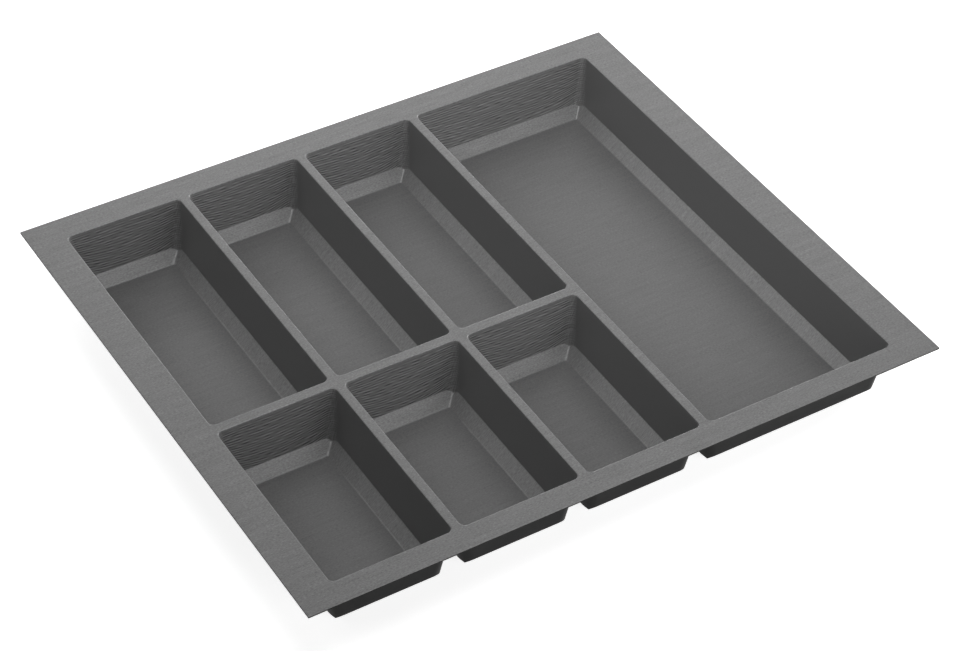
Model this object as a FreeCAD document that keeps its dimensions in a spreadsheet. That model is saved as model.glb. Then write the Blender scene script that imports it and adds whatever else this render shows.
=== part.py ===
"""Cutlery tray: a drawer insert formed from one sheet of plastic.

The flat sheet stays as the deck: a rim all round, and the strips that divide the pockets.
Six cutlery pockets, in two rows of three, and a long utensil pocket are drawn down out of it.
Each pocket has leaning walls, a sloping band at their foot, and a flat floor that the tray rests on.
The sheet is parted where the deck turns down into each pocket, so the deck and every pocket are
separate solids that meet face to face under the deck.

The origin is at the middle of the tray, on the surface that it rests on.
+X runs along the front edge to the right, +Y to the back and +Z up. Lengths are in millimetres.
"""

import FreeCAD, Part
import math
import os

import Sketcher

SHEET_NAME = "Dimensions"
COLUMNS = ("left", "middle", "right")

SIZES = {
    # Deck: the rim, and the strips between the openings
    "rim_left": 29.0,
    "rim_right": 30.0,
    "rim_front": 20.5,
    "rim_back": 24.0,
    "divider_width": 7.5,
    "cross_divider_width": 8.5,
    # Openings in the deck's upper face
    "cutlery_width": 97.5,
    "front_length": 169.5,
    "rear_length": 245.0,
    "utensil_width": 166.0,
    "opening_radius": 4.5,
    "lip_radius": 0.6,
    # Pockets, measured on their inner faces
    "pocket_depth": 52.0,
    "wall_inset": 5.0,
    "band_height": 9.0,
    "band_inset": 9.0,
    "knee_radius": 8.5,
    "floor_radius": 1.5,
    # Sheet: as delivered in the deck, thinned by the draw in the pockets
    "deck_gauge": 1.6,
    "pocket_gauge": 1.3,
    # The lip's curve takes at most this share of the deck's thickness
    "lip_limit_share": 0.9,
}

CELLS = {name: f"{SHEET_NAME}.{name}" for name in SIZES}

# Points of a sketch line or arc, numbered from one, and the axis that starts at the sketch's origin
START, END, CENTRE = range(1, 4)
AXIS_INDEX = -1
# Sides of a sketched rectangle, in the order that they are drawn
FRONT, RIGHT, BACK, LEFT = range(4)
SIDES = (FRONT, RIGHT, BACK, LEFT)
# Corners of a rectangle, in half widths and half lengths, each at the start of the side with its number
CORNER_SHARES = ((-1, -1), (1, -1), (1, 1), (-1, 1))


def formula(text, **terms):
    """Expression in brackets; names in braces are cells of the sheet or the terms given."""
    return "(" + text.format(**CELLS, **terms) + ")"


# Plan of the deck
CUTLERY_SPAN = formula("({cutlery_width} + {divider_width}) * {count}", count=len(COLUMNS))
LONG_LENGTH = formula("{front_length} + {cross_divider_width} + {rear_length}")
TRAY_WIDTH = formula("{rim_left} + {span} + {utensil_width} + {rim_right}", span=CUTLERY_SPAN)
TRAY_DEPTH = formula("{rim_front} + {length} + {rim_back}", length=LONG_LENGTH)
OPENINGS_LEFT = formula("{rim_left} - {width} / 2", width=TRAY_WIDTH)
OPENINGS_FRONT = formula("{rim_front} - {depth} / 2", depth=TRAY_DEPTH)

# Slopes of a pocket's wall and band, and how much longer each is than its rise or its run
WALL_LEAN = formula("{wall_inset} / ({pocket_depth} - {band_height})")
BAND_SLOPE = formula("{band_height} / {band_inset}")
WALL_STRETCH = formula("sqrt(1 + {lean} ^ 2)", lean=WALL_LEAN)
BAND_STRETCH = formula("sqrt(1 + {slope} ^ 2)", slope=BAND_SLOPE)

# Levels above the surface that the tray rests on
DECK_UNDERSIDE = formula("{pocket_gauge} + {pocket_depth} - {deck_gauge}")
KNEE_LEVEL = formula("{pocket_gauge} + {band_height}")

# The wall's inner face where it passes the deck's underside
UNDERSIDE_INSET = formula("{lean} * {deck_gauge}", lean=WALL_LEAN)
UNDERSIDE_RADIUS = formula(
    "{opening_radius} + ({knee_radius} - {opening_radius}) * {inset} / {wall_inset}",
    inset=UNDERSIDE_INSET,
)
FLOOR_INSET = formula("{wall_inset} + {band_inset}")

# How far a pocket's outer face stands outside its inner one, in plan, and how far it lies below
WALL_OFFSET = formula("{pocket_gauge} * {stretch}", stretch=WALL_STRETCH)
KNEE_DROP = formula(
    "{pocket_gauge} * ({band} - {slope} * {wall}) / (1 - {slope} * {lean})",
    band=BAND_STRETCH,
    slope=BAND_SLOPE,
    wall=WALL_STRETCH,
    lean=WALL_LEAN,
)
KNEE_OFFSET = formula("{wall} - {lean} * {drop}", wall=WALL_OFFSET, lean=WALL_LEAN, drop=KNEE_DROP)
FOOT_OFFSET = formula("{pocket_gauge} * ({band} - 1) / {slope}", band=BAND_STRETCH, slope=BAND_SLOPE)
BAND_OFFSET = formula("{pocket_gauge} * {slope} / {band}", slope=BAND_SLOPE, band=BAND_STRETCH)
BAND_DROP = formula("{pocket_gauge} / {band}", band=BAND_STRETCH)

# The wall's round corner runs on below the knee as far as the mitre where the bands meet
MITRE_RUN = formula("{knee_radius} * (1 - sqrt(2) / 2)")
MITRE_INSET = formula("{wall_inset} + {run}", run=MITRE_RUN)
MITRE_LEVEL = formula("{knee} - {slope} * {run}", knee=KNEE_LEVEL, slope=BAND_SLOPE, run=MITRE_RUN)

# Bends of a pocket, from the deck down: inset from the opening, level and corner radius of the inner
# face, then the outer face's offset and drop
POCKET_BENDS = (
    (UNDERSIDE_INSET, DECK_UNDERSIDE, UNDERSIDE_RADIUS, WALL_OFFSET, "0"),
    (CELLS["wall_inset"], KNEE_LEVEL, CELLS["knee_radius"], KNEE_OFFSET, KNEE_DROP),
    (MITRE_INSET, MITRE_LEVEL, CELLS["floor_radius"], BAND_OFFSET, BAND_DROP),
    (FLOOR_INSET, CELLS["pocket_gauge"], CELLS["floor_radius"], FOOT_OFFSET, CELLS["pocket_gauge"]),
)
INNER_SECTIONS = [(inset, level, radius) for inset, level, radius, offset, drop in POCKET_BENDS]
OUTER_SECTIONS = [
    (f"({inset} - {offset})", f"({level} - {drop})", f"({radius} + {offset})")
    for inset, level, radius, offset, drop in POCKET_BENDS
]
# An opening through the deck, from its upper face down, with levels above the deck's underside
OPENING_SECTIONS = [
    ("0", CELLS["deck_gauge"], CELLS["opening_radius"]),
    (UNDERSIDE_INSET, "0", UNDERSIDE_RADIUS),
]


def pocket_plans():
    """Node name of each pocket, with the size and centre of its opening as expressions."""
    rows = {
        "rear": ("{rear_length}", "{front} + {front_length} + {cross_divider_width}"),
        "front": ("{front_length}", "{front}"),
    }
    plans = []
    for row, (length, start) in rows.items():
        for index, column in enumerate(COLUMNS):
            plans.append({
                "name": f"{row}_{column}_pocket",
                "width": CELLS["cutlery_width"],
                "length": formula(length),
                "x": formula(
                    "{left} + ({cutlery_width} + {divider_width}) * {index} + {cutlery_width} / 2",
                    left=OPENINGS_LEFT,
                    index=index,
                ),
                "y": formula(f"{start} + {length} / 2", front=OPENINGS_FRONT),
            })
    plans.append({
        "name": "utensil_pocket",
        "width": CELLS["utensil_width"],
        "length": LONG_LENGTH,
        "x": formula("{left} + {span} + {utensil_width} / 2", left=OPENINGS_LEFT, span=CUTLERY_SPAN),
        "y": formula("{front} + {length} / 2", front=OPENINGS_FRONT, length=LONG_LENGTH),
    })
    return plans


def make_sheet(document):
    """Spreadsheet with one named cell for each driving dimension."""
    sheet = document.addObject("Spreadsheet::Sheet", SHEET_NAME)
    for row, (name, value) in enumerate(SIZES.items(), start=1):
        sheet.set(f"A{row}", name)
        sheet.set(f"B{row}", str(value))
        sheet.setAlias(f"B{row}", name)
    document.recompute()


def make_body(document, name, x="0", y="0", z="0"):
    """Empty body, placed by expressions."""
    body = document.addObject("PartDesign::Body", name)
    body.Label = name
    for axis, place in (("x", x), ("y", y), ("z", z)):
        body.setExpression(f"Placement.Base.{axis}", place)
    return body


def make_sketch(body, name, x="0", y="0", level="0"):
    """Empty sketch parallel to the body's XY plane, with its origin placed by expressions."""
    sketch = body.newObject("Sketcher::SketchObject", name)
    plane = next(item for item in body.Origin.OriginFeatures if item.Role == "XY_Plane")
    sketch.AttachmentSupport = [(plane, "")]
    sketch.MapMode = "FlatFace"
    for axis, place in (("x", x), ("y", y), ("z", level)):
        sketch.setExpression(f"AttachmentOffset.Base.{axis}", place)
    return sketch


def add_dimension(sketch, name, expression, kind, *points):
    """Named sketch dimension that follows an expression."""
    value = float(sketch.evalExpression(expression))
    index = sketch.addConstraint(Sketcher.Constraint(kind, *points, value))
    sketch.renameConstraint(index, name)
    sketch.setExpression(f"Constraints.{name}", expression)


def draw_rectangle(sketch, width, length, radius=None):
    """Rectangle centred on the sketch's origin, with square corners or round ones."""
    half_x = float(sketch.evalExpression(width)) / 2
    half_y = float(sketch.evalExpression(length)) / 2
    trim = float(sketch.evalExpression(radius)) if radius else 0
    corners = [FreeCAD.Vector(x * half_x, y * half_y) for x, y in CORNER_SHARES]
    after = SIDES[1:] + SIDES[:1]
    for side, following in zip(SIDES, after):
        along = (corners[following] - corners[side]).normalize() * trim
        sketch.addGeometry(Part.LineSegment(corners[side] + along, corners[following] - along))
    for side, direction in zip(SIDES, ("Horizontal", "Vertical", "Horizontal", "Vertical")):
        sketch.addConstraint(Sketcher.Constraint(direction, side))
    if radius:
        turns = zip(SIDES, corners[1:] + corners[:1])
        arcs = [round_corner(sketch, side, corner, trim) for side, corner in turns]
        for arc in arcs[1:]:
            sketch.addConstraint(Sketcher.Constraint("Equal", arcs[0], arc))
        add_dimension(sketch, "radius", radius, "Radius", arcs[0])
        opposite = (arcs[LEFT], CENTRE, arcs[RIGHT], CENTRE)
    else:
        for side, following in zip(SIDES, after):
            sketch.addConstraint(Sketcher.Constraint("Coincident", side, END, following, START))
        opposite = (FRONT, START, BACK, START)
    sketch.addConstraint(Sketcher.Constraint("Symmetric", *opposite, AXIS_INDEX, START))
    add_dimension(sketch, "width", width, "DistanceX", LEFT, START, RIGHT, START)
    add_dimension(sketch, "length", length, "DistanceY", FRONT, START, BACK, START)


def round_corner(sketch, side, corner, radius):
    """Quarter arc that joins the end of a side to the start of the next one."""
    centre = FreeCAD.Vector(
        corner.x - math.copysign(radius, corner.x),
        corner.y - math.copysign(radius, corner.y),
    )
    start_angle = (side - 1) * math.pi / 2
    circle = Part.Circle(centre, FreeCAD.Vector(0, 0, 1), radius)
    arc = sketch.addGeometry(Part.ArcOfCircle(circle, start_angle, start_angle + math.pi / 2))
    sketch.addConstraint(Sketcher.Constraint("Tangent", side, END, arc, START))
    sketch.addConstraint(Sketcher.Constraint("Tangent", arc, END, (side + 1) % len(SIDES), START))
    return arc


def add_loft(body, kind, name, plan, sections, x="0", y="0"):
    """Straight-sided loft through round-cornered sections, each an opening drawn in by its inset."""
    sketches = []
    for number, (inset, level, radius) in enumerate(sections):
        sketch = make_sketch(body, f"{name}_section_{number}", x, y, level)
        width, length = (f"({plan[side]} - 2 * {inset})" for side in ("width", "length"))
        draw_rectangle(sketch, width, length, radius)
        sketches.append(sketch)
    loft = body.newObject(kind, name)
    loft.Profile = sketches[0]
    loft.Sections = sketches[1:]
    loft.Ruled = True


def make_pocket(document, plan):
    """Pocket below the deck: its outer form, hollowed by its inner one."""
    name = plan["name"]
    pocket = make_body(document, name, plan["x"], plan["y"])
    add_loft(pocket, "PartDesign::AdditiveLoft", f"{name}_outside", plan, OUTER_SECTIONS)
    add_loft(pocket, "PartDesign::SubtractiveLoft", f"{name}_inside", plan, INNER_SECTIONS)
    return pocket


def opening_edges(shape):
    """Names of the edges round the openings in the deck's upper face."""
    upper_face = max(shape.Faces, key=lambda face: face.CenterOfMass.z)
    rims = [wire for wire in upper_face.Wires if not wire.isSame(upper_face.OuterWire)]
    wanted = [edge for wire in rims for edge in wire.Edges]
    return [
        f"Edge{number}"
        for number, edge in enumerate(shape.Edges, start=1)
        if any(edge.isSame(other) for other in wanted)
    ]


def make_deck(document, plans):
    """Flat sheet with an opening over each pocket, its upper edge rounded into a lip."""
    deck = make_body(document, "rim_deck", z=DECK_UNDERSIDE)
    outline = make_sketch(deck, "deck_outline")
    draw_rectangle(outline, TRAY_WIDTH, TRAY_DEPTH)
    flat = deck.newObject("PartDesign::Pad", "deck_flat")
    flat.Profile = outline
    flat.setExpression("Length", CELLS["deck_gauge"])
    for plan in plans:
        name = f"{plan['name']}_opening"
        place = (plan["x"], plan["y"])
        add_loft(deck, "PartDesign::SubtractiveLoft", name, plan, OPENING_SECTIONS, *place)
    document.recompute()
    pierced = deck.Tip
    lips = deck.newObject("PartDesign::Fillet", "deck_lips")
    lips.Base = (pierced, opening_edges(pierced.Shape))
    lips.setExpression("Radius", formula("min({lip_radius}; {deck_gauge} * {lip_limit_share})"))
    return deck


def check(document, bodies):
    """Stops if anything failed to build."""
    for item in document.Objects:
        if "Invalid" in item.State or "Error" in item.State:
            raise RuntimeError(f"{item.Name} failed: {item.State}")
    for body in bodies:
        if body.Shape.isNull() or not body.Shape.isValid() or len(body.Shape.Solids) != 1:
            raise RuntimeError(f"{body.Label} is not one sound solid")


def main():
    """Builds the tray and writes one STEP file for each node."""
    document = FreeCAD.newDocument("CutleryTray")
    make_sheet(document)
    plans = pocket_plans()
    bodies = [make_deck(document, plans)] + [make_pocket(document, plan) for plan in plans]
    document.recompute()
    check(document, bodies)
    os.makedirs("parts", exist_ok=True)
    for body in bodies:
        body.Shape.exportStep(os.path.join("parts", f"{body.Label}.step"))
        box = body.Shape.BoundBox
        print(f"{body.Label}: {box.XLength:.2f} x {box.YLength:.2f} x {box.ZLength:.2f} mm,"
              f" from z {box.ZMin:.2f}, {body.Shape.Volume:.0f} mm3")


main()
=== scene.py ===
"""Cutlery tray: the looks of a drawer insert formed from one sheet of plastic.

The deck and each pocket are remade as finer closed meshes in the places of their solids: rolled lips,
softened creases, rounded corners, drag lines on the walls that cross the grain and a dark underside.
A map of where each point lay on the flat sheet carries the brushed grain, so that it opens out where the
sheet was drawn down into the walls. Marks on the points tell the material of the drag lines and the floors;
the material paints shade into the lines' grooves, beside the pockets' corners and round the floors' edges,
and paints light onto the lines' ridges and onto the walls that cross the grain.
Lengths are in metres, in the frame's axes: +X to the right along the front edge, +Y back, +Z up.
"""

import math

import bmesh
import bpy
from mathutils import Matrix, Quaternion, Vector, noise


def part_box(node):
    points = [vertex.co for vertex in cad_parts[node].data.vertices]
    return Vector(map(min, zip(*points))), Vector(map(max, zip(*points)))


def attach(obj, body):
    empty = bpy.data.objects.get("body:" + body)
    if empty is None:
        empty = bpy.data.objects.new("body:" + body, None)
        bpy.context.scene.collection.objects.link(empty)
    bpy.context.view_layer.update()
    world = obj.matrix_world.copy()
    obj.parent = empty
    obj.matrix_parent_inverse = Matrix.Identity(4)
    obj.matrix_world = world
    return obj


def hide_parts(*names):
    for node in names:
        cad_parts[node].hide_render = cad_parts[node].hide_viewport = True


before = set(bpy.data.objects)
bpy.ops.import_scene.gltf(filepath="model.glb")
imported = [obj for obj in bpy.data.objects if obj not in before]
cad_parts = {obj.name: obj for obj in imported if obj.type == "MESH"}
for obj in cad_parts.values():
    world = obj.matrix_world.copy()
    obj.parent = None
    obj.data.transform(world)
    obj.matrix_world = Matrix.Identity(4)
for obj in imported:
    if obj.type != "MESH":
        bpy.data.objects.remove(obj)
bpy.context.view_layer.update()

# Pockets, measured on their inner faces
WALL_INSET = 0.005
BAND_INSET = 0.009
BAND_HEIGHT = 0.009
OPENING_RADIUS = 0.0045
KNEE_RADIUS = 0.0085
FLOOR_RADIUS = 0.002
POCKET_GAUGE = 0.0013
# Softening of the edges
LIP_RADIUS = 0.001
KNEE_CREASE = 0.0012
FLOOR_CREASE = 0.002
ROOT_CREASE = 0.0006
TRIM_RADIUS = 0.0004
UNDER_TRIM_RADIUS = 0.0002
DECK_CORNER_RADIUS = 0.0005
# How far the deck's outline lies to the right of the solid's in the photo, over the same pockets
OUTLINE_SHIFT = Vector((0.0006, 0))
# Mesh fineness: steps along the sides that run with the grain and across it, down the profile, and down a
# wall that carries drag lines
GRAIN_SIDE_STEP = 0.0016
CROSS_SIDE_STEP = 0.006
PROFILE_STEP = 0.005
RELIEF_STEP = 0.00035
# Steps round a corner in plan and round a crease, and the flat margin beside a crease
CORNER_STEPS = 10
CREASE_STEPS = 6
SUPPORT = 0.0006
# How far the sheet lags behind in a pocket's corners as it is drawn, and how far that reaches
CORNER_LAG = 0.0014
CORNER_REACH = 0.016

# Drag lines on the walls that cross the grain: depth on the wall, and spacing and length on the flat sheet
DRAG_DEPTH = 0.00006
DRAG_SPACING = 0.00029
DRAG_LENGTH = 0.006
# Their strength: its mean, how far a noise swings it, how much it grows at a corner, and its limit
DRAG_MEAN_SHARE = 0.55
DRAG_BREAK_SHARE = 1.6
DRAG_CORNER_SHARE = 1.2
DRAG_MOST_SHARE = 1.4
# How far they wander, as a share of their spacing, by a noise of a length and a width on the flat sheet
DRAG_WANDER_SHARE = 0.45
DRAG_WANDER_LENGTH = 0.03
DRAG_WANDER_WIDTH = 0.0009
DRAG_WANDER_SEED = 7
# The share of the wall over which they set in below the deck, and how late they fade round a corner
DRAG_START_SHARE = 0.06
DRAG_FADE_POWER = 0.35
# Painted shade and light: how much darker a full line's groove is and paler its ridge, how much darker a
# corner beside it is, and how much paler the walls that cross the grain are
DRAG_PAINTED_SHADE_AND_LIGHT_SHARE = 0.5
CORNER_PAINTED_SHADE_SHARE = 0.2
CROSS_WALL_PAINTED_LIGHT_SHARE = 0.07
# Painted shade round a pocket's floor: how much darker it is at the edges, and how far in that reaches
FLOOR_EDGE_PAINTED_SHADE_SHARE = 0.24
FLOOR_PAINTED_SHADE_REACH = 0.026
# How much fainter the grain is on a floor than on the deck
FLOOR_GRAIN_LOST_SHARE = 0.33

# Finish of the upper face: lengths and spacings of its streaks on the flat sheet, and their swings
FINE_GRAIN = (0.002, 0.0005)
LONG_GRAIN = (0.02, 0.0006)
BROAD_GRAIN = (0.04, 0.0035)
LONG_SHARE = 0.42
BROAD_SHARE = 0.22
GRAIN_DEPTH = 0.00002
STREAK_DETAIL = 1
STREAK_ROUGHNESS = 0.5
NOISE_MIDDLE = 0.5
FACE_TONE = 0.2
FACE_TONE_SWING = 0.157
FACE_ROUGHNESS = 0.42
FACE_ROUGHNESS_SWING = 0.1
FACE_METALLIC = 0.33
# Finish of the underside
MOTTLE_SIZE = 0.012
MOTTLE_DEPTH = 0.0001
BACK_TONE = 0.014
BACK_TONE_SWING = 0.01
BACK_ROUGHNESS = 0.5
BACK_ROUGHNESS_SWING = 0.2
BACK_GLOSS_LEVEL = 0.1

# Names of the sheet map and of the values at each point that the material reads
SHEET_MAP = "sheet"
DRAWN_ACROSS = "drawn_across_grain"
DRAWN_ALONG = "drawn_along_grain"
DRAG_CUT_AND_PAINTED_SHADE = "drag_line_and_painted_shade"
FLOOR = "pressed_floor"
FLOOR_PAINTED_SHADE = "painted_floor_shade"
MARKS = (DRAG_CUT_AND_PAINTED_SHADE, FLOOR, FLOOR_PAINTED_SHADE)
# Material slots of each piece
FACE_SLOT, BACK_SLOT = range(2)

# Levels, insets and slopes worked out from the frame and the values above
deck_low, deck_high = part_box("rim_deck")
DECK_TOP = deck_high.z
DECK_UNDERSIDE = deck_low.z
DECK_GAUGE = DECK_TOP - DECK_UNDERSIDE
FLOOR_LEVEL = POCKET_GAUGE
KNEE_LEVEL = FLOOR_LEVEL + BAND_HEIGHT
FLOOR_INSET = WALL_INSET + BAND_INSET
WALL_LEAN = WALL_INSET / (DECK_TOP - KNEE_LEVEL)
BAND_SLOPE = BAND_HEIGHT / BAND_INSET
SEAM_INSET = WALL_LEAN * DECK_GAUGE
OUTER_STEP = POCKET_GAUGE * math.hypot(1, WALL_LEAN) - SEAM_INSET

# Softboxes, aimed at one spot towards the back and right: azimuth and elevation in degrees, height, watts
LAMPS = {
    "front_low": (0, 14, 0.4, 0.66),
    "front": (0, 25, 0.6, 0.5),
    "right_low": (90, 14, 0.4, 3.8),
    "back_right_low": (150, 6, 0.25, 1.55),
    "back": (180, 25, 0.6, 1.05),
    "back_left": (240, 40, 0.8, 0.26),
    "left": (270, 40, 0.8, 0.41),
    "front_left_high": (330, 70, 0.8, 1.4),
    "top": (0, 90, 0.8, 0.76),
}
LAMP_AIM = Vector((0.22, 0.2, 0))
LAMP_DISTANCE = 1.6
LAMP_WIDTH = 0.8
LAMP_SPREAD = math.radians(64)
# Pale floor just below the tray, and how far it is lifted towards white where it is seen directly
STAGE_REACH = 4
STAGE_TONE = 0.85
STAGE_ROUGHNESS = 0.9
STAGE_LIFT_STRENGTH = 0.82
STAGE_DROP = 0.0002
# Camera, fitted to the straight edges in the photo; its lens and sensor are in millimetres
CAMERA_AIM = Vector((-0.0157, -0.0395, DECK_TOP))
CAMERA_AZIMUTH = math.radians(-32.467)
CAMERA_ELEVATION = math.radians(41.610)
CAMERA_ROLL = math.radians(1.619)
CAMERA_DISTANCE = 2.0668
CAMERA_LENS = 102.764
CAMERA_SENSOR = 36


# Profiles down a pocket or round an edge


def round_off(points, radii):
    """Polyline with each inner corner replaced by an arc of its radius."""
    points = [Vector(point) for point in points]
    rounded = [points[0]]
    for before, corner, after, radius in zip(points, points[1:], points[2:], radii):
        back = (before - corner).normalized()
        ahead = (after - corner).normalized()
        half_angle = back.angle(ahead) / 2
        centre = corner + (back + ahead).normalized() * radius / math.sin(half_angle)
        start = corner + back * radius / math.tan(half_angle) - centre
        end = corner + ahead * radius / math.tan(half_angle) - centre
        turn = start.angle(end)
        for step in range(CREASE_STEPS + 1):
            angle = turn * step / CREASE_STEPS
            spoke = (start * math.sin(turn - angle) + end * math.sin(angle)) / math.sin(turn)
            rounded.append(centre + spoke)
    rounded.append(points[-1])
    return rounded


def counts_for(points, longest):
    """Numbers of steps that keep each stretch of a polyline to the length given."""
    return [max(1, math.ceil((end - start).length / longest)) for start, end in zip(points, points[1:])]


def subdivide(points, counts):
    """Polyline with each of its stretches cut into a number of steps."""
    finer = [points[0]]
    for start, end, count in zip(points, points[1:], counts):
        finer += [start.lerp(end, step / count) for step in range(1, count + 1)]
    return finer


def offset_corner(before, corner, after, gauge):
    """Where two faces of a profile meet once each has moved out, to the right of its run, by a gauge."""
    first = (Vector(corner) - Vector(before)).normalized()
    second = (Vector(after) - Vector(corner)).normalized()
    normals = [Vector((run.y, -run.x)) for run in (first, second)]
    bisector = (normals[0] + normals[1]).normalized()
    return tuple(Vector(corner) + bisector * gauge / bisector.dot(normals[0]))


def wall_radius(inset):
    """Corner radius in plan of the deck's lip or a pocket's wall at an inset from the opening."""
    if inset <= 0:
        return OPENING_RADIUS - inset
    return OPENING_RADIUS + (KNEE_RADIUS - OPENING_RADIUS) * inset / WALL_INSET


# Meshes, from rings of points round a pocket or the deck


def ring_points(width, length, radius, side_counts):
    """Round-cornered rectangle about the origin, anticlockwise from its front right corner."""
    quarter = math.pi / 2
    half_x, half_y = width / 2 - radius, length / 2 - radius
    corners = [(half_x, -half_y), (half_x, half_y), (-half_x, half_y), (-half_x, -half_y)]
    points = []
    for side, (x, y) in enumerate(corners):
        start = (side - 1) * quarter
        for step in range(CORNER_STEPS + 1):
            angle = start + quarter * step / CORNER_STEPS
            points.append(Vector((x + radius * math.cos(angle), y + radius * math.sin(angle))))
        next_x, next_y = corners[(side + 1) % len(corners)]
        turned = start + quarter
        first = points[-1]
        last = Vector((next_x + radius * math.cos(turned), next_y + radius * math.sin(turned)))
        count = side_counts[side % 2]
        points += [first.lerp(last, step / count) for step in range(1, count)]
    return points


def ring_places(centre, size, counts, inset, level, radius, slope=0):
    """Ring at an inset from an outline; its corners dip as far as sloping bands along its sides would."""
    width, length = size.x - 2 * inset, size.y - 2 * inset
    places = []
    for point in ring_points(width, length, radius, counts):
        dip = slope * min(width / 2 - abs(point.x), length / 2 - abs(point.y))
        places.append(Vector((centre.x + point.x, centre.y + point.y, level - dip)))
    return places


def add_rings(mesh, rings):
    """Vertices at the places of each ring."""
    return [[mesh.verts.new(place) for place in ring] for ring in rings]


def bridge(mesh, rings, slot):
    """Quads from each ring to the next."""
    for upper, lower in zip(rings, rings[1:]):
        for index, vertex in enumerate(upper):
            other = (index + 1) % len(upper)
            face = mesh.faces.new((vertex, upper[other], lower[other], lower[index]))
            face.material_index = slot


def fill_between(mesh, loops, slot):
    """Flat face inside the first loop and outside the others, as triangles."""
    edges = []
    for loop in loops:
        for index, vertex in enumerate(loop):
            pair = (vertex, loop[(index + 1) % len(loop)])
            edges.append(mesh.edges.get(pair) or mesh.edges.new(pair))
    filled = bmesh.ops.triangle_fill(mesh, edges=edges, use_beauty=True)
    for item in filled["geom"]:
        if isinstance(item, bmesh.types.BMFace):
            item.material_index = slot


def side_counts_of(size):
    """Steps along the sides of an outline: the right and left ones, then the back and front ones."""
    return math.ceil(size.y / CROSS_SIDE_STEP), math.ceil(size.x / GRAIN_SIDE_STEP)


def opening_of(node):
    """Centre and size of a pocket's opening in the deck's upper face."""
    low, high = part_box(node)
    size = (high - low).to_2d() - Vector((2, 2)) * OUTER_STEP
    return ((low + high) / 2).to_2d(), size


def drawn_share(level):
    """How far down the wall a level is, from 0 at the deck to 1 at the knee, and back to 0 at the floor."""
    if level >= KNEE_LEVEL:
        return max(0, (DECK_UNDERSIDE - level) / (DECK_UNDERSIDE - KNEE_LEVEL))
    return max(0, (level - FLOOR_LEVEL) / BAND_HEIGHT)


def corner_share(place, centre, size):
    """Nearness to a pocket's vertical corners, from 1 at a corner to 0 far from it."""
    inset = WALL_INSET * drawn_share(place.z)
    gap_x = max(0, size.x / 2 - inset - abs(place.x - centre.x))
    gap_y = max(0, size.y / 2 - inset - abs(place.y - centre.y))
    return math.exp(-(gap_x + gap_y) / CORNER_REACH)


def sheet_place(place, centre, size):
    """Where a point of a pocket lay on the flat sheet."""
    lag = CORNER_LAG * drawn_share(place.z) * corner_share(place, centre, size)
    x = place.x - math.copysign(lag, place.x - centre.x)
    y = place.y - math.copysign(lag, place.y - centre.y)
    return x, y


def drag_lines_and_corner_shade(place, normal, centre, size):
    """Drag lines at a point of the walls that cross the grain: above zero in a groove, below on a ridge;
    the value cuts the groove, paints shade into it and light onto the ridge, and adds painted shade near a
    corner.
    """
    if place.z < KNEE_LEVEL or (place.y - centre.y) * normal.y >= 0:
        return 0
    # The wall's place at this level, so that the lines run on round the corners
    wall_half = size.y / 2 - WALL_LEAN * (DECK_TOP - place.z)
    on_wall = Vector((place.x, centre.y + math.copysign(wall_half, place.y - centre.y), place.z))
    along, across = sheet_place(on_wall, centre, size)
    corner = corner_share(on_wall, centre, size)
    wander = noise.noise((along / DRAG_WANDER_LENGTH, across / DRAG_WANDER_WIDTH, DRAG_WANDER_SEED))
    line = math.cos(2 * math.pi * (across / DRAG_SPACING + DRAG_WANDER_SHARE * wander))
    broken = noise.noise((along / DRAG_LENGTH, across / DRAG_SPACING, 0))
    strength = max(0, DRAG_MEAN_SHARE + DRAG_BREAK_SHARE * broken)
    strength = min(DRAG_MOST_SHARE, strength * (1 + DRAG_CORNER_SHARE * corner))
    fade = min(1, drawn_share(place.z) / DRAG_START_SHARE) * drawn(normal.y) ** DRAG_FADE_POWER
    # Painted shade near a corner, added on top of the line
    return fade * (line * strength + CORNER_PAINTED_SHADE_SHARE * corner)


def floor_share(place, normal):
    """1 on a pocket's floor, fading to 0 where it turns up into the bands."""
    if place.z > KNEE_LEVEL:
        return 0
    band_rise = 1 / math.hypot(1, BAND_SLOPE)
    return max(0, (normal.z - band_rise) / (1 - band_rise))


def floor_shade_share(place, centre, size):
    """Nearness to the edges of a pocket's floor, from 1 there to 0 far in: where painted shade darkens the
    floor.
    """
    half_x, half_y = size.x / 2 - FLOOR_INSET, size.y / 2 - FLOOR_INSET
    gap = max(0, min(half_x - abs(place.x - centre.x), half_y - abs(place.y - centre.y)))
    return math.exp(-gap / FLOOR_PAINTED_SHADE_REACH)


def pocket_marks(place, normal, centre, size):
    """Values of all marks at a point of a pocket."""
    floor = floor_share(place, normal)
    return drag_lines_and_corner_shade(place, normal, centre, size), floor, floor * floor_shade_share(place, centre, size)


def drawn(lean):
    """How far the sheet is drawn out where its normal leans to one side: 0 on the flat, 1 on a wall."""
    stretch = 1 / math.sqrt(max(1 - lean ** 2, WALL_LEAN ** 2))
    return (stretch - 1) / (1 / WALL_LEAN - 1)


def set_values(data, name, values):
    """Number for each vertex, for the material."""
    data.attributes.new(name, "FLOAT", "POINT").data.foreach_set("value", values)


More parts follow.
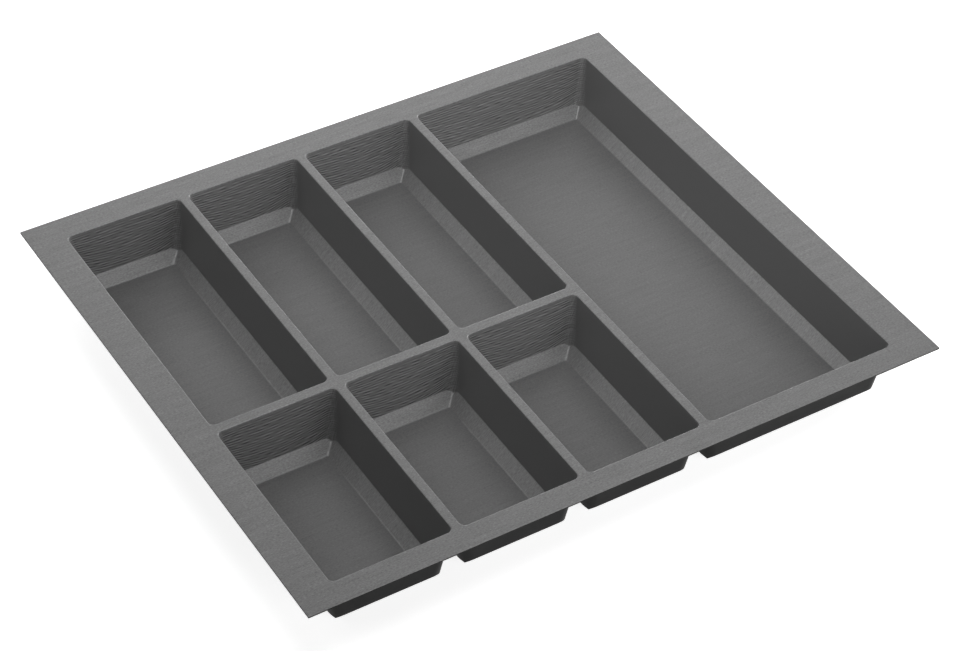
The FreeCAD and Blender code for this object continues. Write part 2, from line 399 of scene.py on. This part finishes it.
def finish_mesh(mesh, name, sheet_of, marks_of):
    """Closed, smooth-shaded object with its marks, the sheet map and how far the sheet is drawn."""
    bmesh.ops.recalc_face_normals(mesh, faces=mesh.faces)
    mesh.normal_update()
    mesh.verts.index_update()
    places = [sheet_of(vertex.co) for vertex in mesh.verts]
    normals = [vertex.normal.copy() for vertex in mesh.verts]
    layer = mesh.loops.layers.uv.new(SHEET_MAP)
    for face in mesh.faces:
        face.smooth = True
        for loop in face.loops:
            loop[layer].uv = places[loop.vert.index]
    rows = [marks_of(vertex.co, normal) for vertex, normal in zip(mesh.verts, normals)]
    marks = dict(zip(MARKS, zip(*rows)))
    # The value holds the drag lines' cut and the painted corner shade; both push the wall in
    for vertex, normal, cut in zip(mesh.verts, normals, marks[DRAG_CUT_AND_PAINTED_SHADE]):
        vertex.co -= normal * DRAG_DEPTH * cut
    data = bpy.data.meshes.new(name)
    mesh.to_mesh(data)
    mesh.free()
    set_values(data, DRAWN_ACROSS, [drawn(normal.y) for normal in normals])
    set_values(data, DRAWN_ALONG, [drawn(normal.x) for normal in normals])
    for mark, values in marks.items():
        set_values(data, mark, values)
    piece = bpy.data.objects.new(name, data)
    bpy.context.scene.collection.objects.link(piece)
    return piece


def pocket_bends(size):
    """Bends of a pocket's two faces: inset, level, corner radius and slope of the band below."""
    floor_run = min(size) / 2 - FLOOR_INSET - BAND_INSET
    inner = [
        (SEAM_INSET, DECK_UNDERSIDE, wall_radius(SEAM_INSET), 0),
        (WALL_INSET, KNEE_LEVEL, KNEE_RADIUS, BAND_SLOPE),
        (FLOOR_INSET, FLOOR_LEVEL, FLOOR_RADIUS, 0),
        (FLOOR_INSET + floor_run, FLOOR_LEVEL, FLOOR_RADIUS, 0),
    ]
    corners = [bend[:2] for bend in inner]
    knee = offset_corner(*corners[0:3], POCKET_GAUGE)
    foot = offset_corner(*corners[1:4], POCKET_GAUGE)
    run_out = ROOT_CREASE + SUPPORT
    places = [(-OUTER_STEP, DECK_UNDERSIDE), knee, foot, (foot[0] + floor_run, foot[1])]
    outer = [
        (place[0], place[1], radius + inset - place[0], slope)
        for place, (inset, level, radius, slope) in zip(places, inner)
    ]
    inset, level, radius, slope = outer[0]
    outer.insert(0, (inset - run_out, level, radius + run_out, slope))
    return inner, outer


def make_pocket(node):
    """Pocket below the deck: an inner face, and an outer one a gauge away that flares into the deck."""
    centre, size = opening_of(node)
    counts = side_counts_of(size)
    inner_bends, outer_bends = pocket_bends(size)
    inner_corners = [ring_places(centre, size, counts, *bend) for bend in inner_bends]
    outer_corners = [ring_places(centre, size, counts, *bend) for bend in outer_bends]
    inner = [round_off(points, (KNEE_CREASE, FLOOR_CREASE)) for points in zip(*inner_corners)]
    outer_creases = (ROOT_CREASE, KNEE_CREASE + POCKET_GAUGE, FLOOR_CREASE + POCKET_GAUGE)
    # The first point only gives the flare its direction
    outer = [round_off(points, outer_creases)[1:] for points in zip(*outer_corners)]
    inner_counts = counts_for(inner[0][:2], RELIEF_STEP) + counts_for(inner[0][1:], PROFILE_STEP)
    outer_counts = counts_for(outer[0], PROFILE_STEP)
    mesh = bmesh.new()
    inner_rings = add_rings(mesh, zip(*[subdivide(points, inner_counts) for points in inner]))
    outer_rings = add_rings(mesh, zip(*[subdivide(points, outer_counts) for points in outer]))
    bridge(mesh, inner_rings, FACE_SLOT)
    bridge(mesh, outer_rings, BACK_SLOT)
    bridge(mesh, [inner_rings[0], outer_rings[0]], BACK_SLOT)
    mesh.faces.new(inner_rings[-1]).material_index = FACE_SLOT
    mesh.faces.new(outer_rings[-1]).material_index = BACK_SLOT
    return finish_mesh(
        mesh, f"{node}_skin",
        lambda place: sheet_place(place, centre, size),
        lambda place, normal: pocket_marks(place, normal, centre, size),
    )


def make_deck(pockets):
    """Flat sheet with a rolled lip round each opening and a cut edge."""
    mesh = bmesh.new()
    centre = ((deck_low + deck_high) / 2).to_2d() + OUTLINE_SHIFT
    size = (deck_high - deck_low).to_2d()
    edge = [
        (TRIM_RADIUS + SUPPORT, DECK_TOP), (0, DECK_TOP),
        (0, DECK_UNDERSIDE), (UNDER_TRIM_RADIUS + SUPPORT, DECK_UNDERSIDE),
    ]
    edge_rings = add_rings(mesh, [
        ring_places(centre, size, side_counts_of(size), inset, level, DECK_CORNER_RADIUS)
        for inset, level in round_off(edge, (TRIM_RADIUS, UNDER_TRIM_RADIUS))
    ])
    # The brushed face ends where the rounded top of the cut edge does
    skin_end = CREASE_STEPS + 1
    bridge(mesh, edge_rings[:skin_end + 1], FACE_SLOT)
    bridge(mesh, edge_rings[skin_end:], BACK_SLOT)
    upper, under = [edge_rings[0]], [edge_rings[-1]]
    lip = [(-LIP_RADIUS - SUPPORT, DECK_TOP), (0, DECK_TOP), (SEAM_INSET, DECK_UNDERSIDE)]
    for node in pockets:
        place, opening = opening_of(node)
        rings = add_rings(mesh, [
            ring_places(place, opening, side_counts_of(opening), inset, level, wall_radius(inset))
            for inset, level in round_off(lip, (LIP_RADIUS,))
        ])
        bridge(mesh, rings, FACE_SLOT)
        upper.append(rings[0])
        under.append(rings[-1])
    fill_between(mesh, upper, FACE_SLOT)
    fill_between(mesh, under, BACK_SLOT)
    return finish_mesh(
        mesh, "rim_deck_skin",
        lambda place: (place.x, place.y),
        lambda place, normal: (0,) * len(MARKS),
    )


# Materials


def add_node(tree, kind, inputs=None, **settings):
    """Shader node with its settings, and its inputs given as values or as outputs of other nodes."""
    made = tree.nodes.new(kind)
    for name, value in settings.items():
        setattr(made, name, value)
    for socket, value in (inputs or {}).items():
        if isinstance(value, bpy.types.NodeSocket):
            tree.links.new(value, made.inputs[socket])
        else:
            made.inputs[socket].default_value = value
    return made


def new_material(name):
    """Material with a Principled shader, as the material, its node tree and the shader."""
    material = bpy.data.materials.new(name)
    material.use_nodes = True
    tree = material.node_tree
    return material, tree, tree.nodes["Principled BSDF"]


def math_node(tree, operation, *values):
    """Output of a Math node on numbers or outputs."""
    return add_node(tree, "ShaderNodeMath", dict(enumerate(values)), operation=operation).outputs[0]


def point_value(tree, name):
    """Output of a value that the mesh holds for each point."""
    return add_node(tree, "ShaderNodeAttribute", attribute_name=name).outputs["Fac"]


def streaks(tree, place, grain):
    """Noise drawn out along the grain, about zero: streaks of about the grain's length and spacing."""
    length, spacing = grain
    scaled = add_node(
        tree, "ShaderNodeVectorMath", {0: place, 1: (1 / length, 1 / spacing, 0)}, operation="MULTIPLY",
    )
    texture = add_node(
        tree, "ShaderNodeTexNoise",
        {"Vector": scaled.outputs[0], "Scale": 1, "Detail": STREAK_DETAIL, "Roughness": STREAK_ROUGHNESS},
        noise_dimensions="2D",
    )
    return math_node(tree, "SUBTRACT", texture.outputs["Fac"], NOISE_MIDDLE)


def face_material():
    """Brushed grey upper face: streaks along the grain in its colour, its roughness and its relief, and
    painted shade and light in its colour from the marks.
    """
    material, tree, shader = new_material("brushed_grey_plastic")
    place = add_node(tree, "ShaderNodeUVMap", uv_map=SHEET_MAP).outputs["UV"]
    across = point_value(tree, DRAWN_ACROSS)
    along = point_value(tree, DRAWN_ALONG)
    cut = point_value(tree, DRAG_CUT_AND_PAINTED_SHADE)
    floor = point_value(tree, FLOOR)
    edge = point_value(tree, FLOOR_PAINTED_SHADE)
    fine = streaks(tree, place, FINE_GRAIN)
    long = streaks(tree, place, LONG_GRAIN)
    broad = streaks(tree, place, BROAD_GRAIN)
    swing = math_node(tree, "MULTIPLY_ADD", long, LONG_SHARE, fine)
    swing = math_node(tree, "MULTIPLY_ADD", broad, BROAD_SHARE, swing)
    # The grain fades where the sheet is drawn out, and partly on the floors
    kept = math_node(tree, "SUBTRACT", 1, math_node(tree, "ADD", along, across))
    kept = math_node(tree, "MULTIPLY_ADD", floor, -FLOOR_GRAIN_LOST_SHARE, kept)
    shown = math_node(tree, "MULTIPLY", swing, kept)
    tone = math_node(tree, "MULTIPLY_ADD", shown, FACE_TONE_SWING, FACE_TONE)
    # Painted light: the walls that cross the grain are made paler
    lift = math_node(tree, "MULTIPLY_ADD", across, CROSS_WALL_PAINTED_LIGHT_SHARE, 1)
    # Painted shade in the drag lines' grooves and beside the corners, painted light on their ridges
    shade = math_node(tree, "MULTIPLY_ADD", cut, -DRAG_PAINTED_SHADE_AND_LIGHT_SHARE, lift)
    # Painted shade darkens each floor round its edges
    shade = math_node(tree, "MULTIPLY_ADD", edge, -FLOOR_EDGE_PAINTED_SHADE_SHARE, shade)
    tree.links.new(math_node(tree, "MULTIPLY", tone, shade), shader.inputs["Base Color"])
    roughness = math_node(tree, "MULTIPLY_ADD", shown, FACE_ROUGHNESS_SWING, FACE_ROUGHNESS)
    tree.links.new(roughness, shader.inputs["Roughness"])
    bump = add_node(tree, "ShaderNodeBump", {"Strength": 1, "Distance": GRAIN_DEPTH, "Height": fine})
    tree.links.new(bump.outputs[0], shader.inputs["Normal"])
    shader.inputs["Metallic"].default_value = FACE_METALLIC
    shader.inputs["Specular IOR Level"].default_value = 0
    return material


def back_material():
    """Dark underside with a faint mottle from the former."""
    material, tree, shader = new_material("dark_plastic_back")
    shader.inputs["Specular IOR Level"].default_value = BACK_GLOSS_LEVEL
    place = add_node(tree, "ShaderNodeTexCoord").outputs["Object"]
    mottle = add_node(
        tree, "ShaderNodeTexNoise",
        {"Vector": place, "Scale": 1 / MOTTLE_SIZE, "Detail": STREAK_DETAIL, "Roughness": STREAK_ROUGHNESS},
    ).outputs["Fac"]
    swing = math_node(tree, "SUBTRACT", mottle, NOISE_MIDDLE)
    tone = math_node(tree, "MULTIPLY_ADD", swing, BACK_TONE_SWING, BACK_TONE)
    tree.links.new(tone, shader.inputs["Base Color"])
    roughness = math_node(tree, "MULTIPLY_ADD", swing, BACK_ROUGHNESS_SWING, BACK_ROUGHNESS)
    tree.links.new(roughness, shader.inputs["Roughness"])
    bump = add_node(tree, "ShaderNodeBump", {"Strength": 1, "Distance": MOTTLE_DEPTH, "Height": mottle})
    tree.links.new(bump.outputs[0], shader.inputs["Normal"])
    return material


# Stage


def direction(azimuth, elevation):
    """Unit vector towards a place round the object: azimuth 0 is in front, a quarter turn on the right."""
    flat = math.cos(elevation)
    return Vector((math.sin(azimuth) * flat, -math.cos(azimuth) * flat, math.sin(elevation)))


def make_camera():
    """Camera that sees the tray as the photo does."""
    data = bpy.data.cameras.new("camera")
    data.lens = CAMERA_LENS
    data.sensor_width = CAMERA_SENSOR
    data.sensor_fit = "HORIZONTAL"
    camera = bpy.data.objects.new("camera", data)
    back = direction(CAMERA_AZIMUTH, CAMERA_ELEVATION)
    camera.location = CAMERA_AIM + back * CAMERA_DISTANCE
    camera.rotation_mode = "QUATERNION"
    camera.rotation_quaternion = (-back).to_track_quat("-Z", "Y") @ Quaternion((0, 0, 1), CAMERA_ROLL)
    bpy.context.scene.collection.objects.link(camera)
    bpy.context.scene.camera = camera


def make_lamp(name, azimuth, elevation, height, watts):
    """Softbox with a grid, so that its light falls off round the spot that it is aimed at."""
    data = bpy.data.lights.new(name, "AREA")
    data.shape = "RECTANGLE"
    data.size = LAMP_WIDTH
    data.size_y = height
    data.spread = LAMP_SPREAD
    data.energy = watts
    lamp = bpy.data.objects.new(name, data)
    out = direction(math.radians(azimuth), math.radians(elevation))
    lamp.location = LAMP_AIM + out * LAMP_DISTANCE
    lamp.rotation_mode = "QUATERNION"
    lamp.rotation_quaternion = (-out).to_track_quat("-Z", "Y")
    bpy.context.scene.collection.objects.link(lamp)


def seen_directly(tree):
    """Whether a ray comes from the camera, or from it by way of gloss or glass."""
    rays = add_node(tree, "ShaderNodeLightPath")
    gloss, glass = rays.outputs["Is Glossy Ray"], rays.outputs["Is Transmission Ray"]
    mirrored = math_node(tree, "MAXIMUM", gloss, glass)
    return math_node(tree, "MAXIMUM", rays.outputs["Is Camera Ray"], mirrored)


def make_world():
    """White surroundings that are seen directly and in gloss, and shed no other light."""
    world = bpy.data.worlds.new("studio")
    bpy.context.scene.world = world
    world.use_nodes = True
    tree = world.node_tree
    tree.nodes.clear()
    light = add_node(tree, "ShaderNodeBackground", {"Color": (1, 1, 1, 1), "Strength": seen_directly(tree)})
    add_node(tree, "ShaderNodeOutputWorld", {"Surface": light.outputs[0]})


def make_floor():
    """Pale floor just clear of the tray, lifted to white where it is seen directly; it keeps the shadow."""
    mesh = bmesh.new()
    bmesh.ops.create_grid(mesh, x_segments=1, y_segments=1, size=STAGE_REACH)
    data = bpy.data.meshes.new("floor")
    mesh.to_mesh(data)
    mesh.free()
    floor = bpy.data.objects.new("floor", data)
    floor.location.z = -STAGE_DROP
    bpy.context.scene.collection.objects.link(floor)
    material, tree, shader = new_material("pale_floor")
    shader.inputs["Base Color"].default_value = (STAGE_TONE, STAGE_TONE, STAGE_TONE, 1)
    shader.inputs["Roughness"].default_value = STAGE_ROUGHNESS
    shader.inputs["Specular IOR Level"].default_value = 0
    shader.inputs["Emission Color"].default_value = (1, 1, 1, 1)
    lift = math_node(tree, "MULTIPLY", seen_directly(tree), STAGE_LIFT_STRENGTH)
    tree.links.new(lift, shader.inputs["Emission Strength"])
    data.materials.append(material)


def main():
    """Pieces in the places of the nodes, then the stage."""
    pockets = [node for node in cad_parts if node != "rim_deck"]
    skins = {node: make_pocket(node) for node in pockets}
    skins["rim_deck"] = make_deck(pockets)
    face, back = face_material(), back_material()
    for node, skin in skins.items():
        skin.data.materials.append(face)
        skin.data.materials.append(back)
        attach(skin, "root")
        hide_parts(node)
    make_camera()
    make_world()
    for name, setting in LAMPS.items():
        make_lamp(name, *setting)
    make_floor()
    bpy.context.scene.view_settings.view_transform = "Standard"


main()
